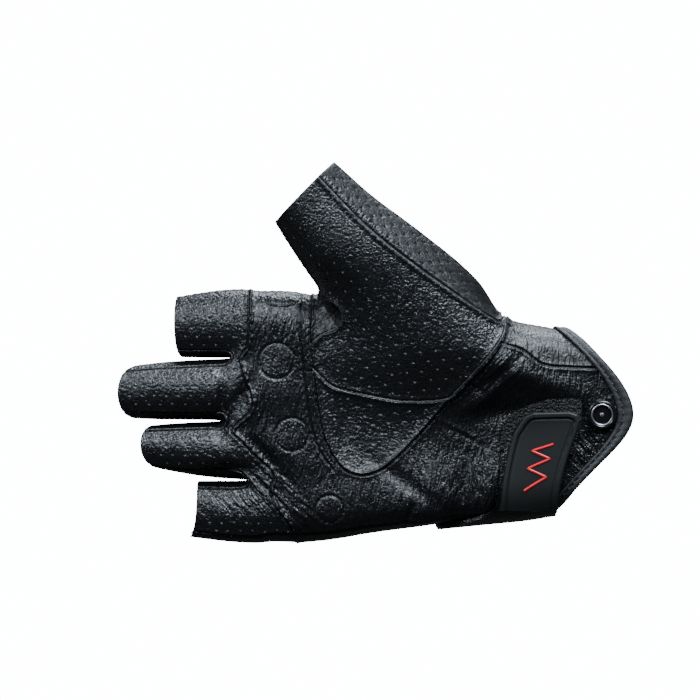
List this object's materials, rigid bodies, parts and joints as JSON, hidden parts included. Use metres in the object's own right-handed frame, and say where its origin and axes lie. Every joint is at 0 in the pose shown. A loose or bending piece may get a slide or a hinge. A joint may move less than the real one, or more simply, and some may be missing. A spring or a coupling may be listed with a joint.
{
  "type": "fingerless riding glove",
  "caption": "Right-hand fingerless leather riding glove, palm side, with perforated thumb and finger stalls, bound cuff, snap and hook-and-loop wrist strap with a rubber label.",
  "frame": {"origin": "middle of the wrist opening, where the glove sits on a wrist", "axes": "+X out of the wrist opening towards the arm, the fingers point to -X; -Y out of the palm; +Z towards the thumb"},
  "size_m": [0.1761, 0.0481, 0.1306],
  "materials": {
    "smooth_leather": "black full-grain leather, semi-gloss, fine creases",
    "perforated_leather": "black perforated leather, satin",
    "binding_fabric": "dark grey folded binding, matt",
    "loop_fabric": "black hook-and-loop fabric, matt",
    "label_rubber": "moulded dark grey rubber, matt",
    "mark_rubber": "red moulded line, satin",
    "snap_enamel": "black enamelled ring",
    "snap_metal": "black nickel, glossy"
  },
  "bodies": {
    "root": {"finger_panel": "perforated_leather", "thumb_panel": "perforated_leather", "palm_tongue": "perforated_leather", "thumb_outer": "perforated_leather", "crotch_gusset": "smooth_leather", "wrist_gusset": "smooth_leather", "palm_leather": "smooth_leather", "back_leather": "smooth_leather", "fourchette_index_middle": "smooth_leather", "fourchette_middle_ring": "smooth_leather", "fourchette_ring_little": "smooth_leather", "cuff_binding": "binding_fabric", "strap_loop_pad": "loop_fabric", "wrist_strap": "smooth_leather", "strap_label": "label_rubber", "label_mark": "mark_rubber", "snap_collar": "snap_enamel", "snap_socket": "snap_metal"}
  },
  "joints": []
}
